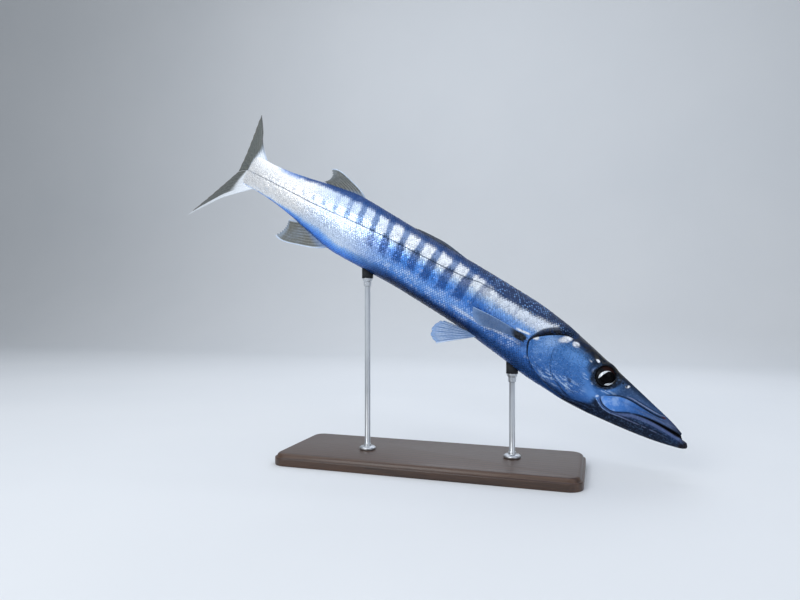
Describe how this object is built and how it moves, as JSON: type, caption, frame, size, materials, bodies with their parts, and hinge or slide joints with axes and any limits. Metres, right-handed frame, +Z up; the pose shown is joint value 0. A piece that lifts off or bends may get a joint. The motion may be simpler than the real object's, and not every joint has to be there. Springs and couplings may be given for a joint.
{
  "type": "barracuda display model",
  "caption": "Life-size barracuda, nose down with a gentle swimming bend, pointed head, barred silver flank, rayed fins and forked tail, held on a flat base by slim rods.",
  "frame": {"origin": "centre of the underside of the stand's base", "axes": "+Z up, +X towards the fish's nose along the base, +Y to the fish's left"},
  "size_m": [0.8884, 0.23, 0.6275],
  "materials": {
    "skin_flank": "silver scaled skin, dark back, darker bars along the side",
    "skin_head": "smooth silver-blue skin, bronze-dark on top",
    "skin_jaw": "smooth blue-grey skin",
    "eye": "wet gloss, black pupil, silver iris",
    "fin_dark": "olive-grey rayed membrane with pale edges",
    "fin_pale": "translucent grey rayed membrane",
    "stand_wood": "dark stained, satin",
    "stand_steel": "brushed"
  },
  "bodies": {
    "root": {"head": "skin_head", "lower_jaw": "skin_jaw", "upper_jaw_plate_right": "skin_jaw", "upper_jaw_plate_left": "skin_jaw", "gill_cover_right": "skin_head", "gill_cover_left": "skin_head", "eye_right": "eye", "eye_left": "eye", "trunk_front": "skin_flank", "trunk_middle": "skin_flank", "trunk_rear": "skin_flank", "tail_stalk": "skin_flank", "dorsal_fin_first": "fin_dark", "dorsal_fin_second": "fin_dark", "anal_fin": "fin_dark", "tail_fin_upper": "fin_dark", "tail_fin_lower": "fin_dark", "pectoral_fin_right": "fin_pale", "pectoral_fin_left": "fin_pale", "pelvic_fin_right": "fin_pale", "pelvic_fin_left": "fin_pale", "stand_base": "stand_wood", "stand_rod_front": "stand_steel", "stand_rod_rear": "stand_steel"}
  },
  "joints": []
}
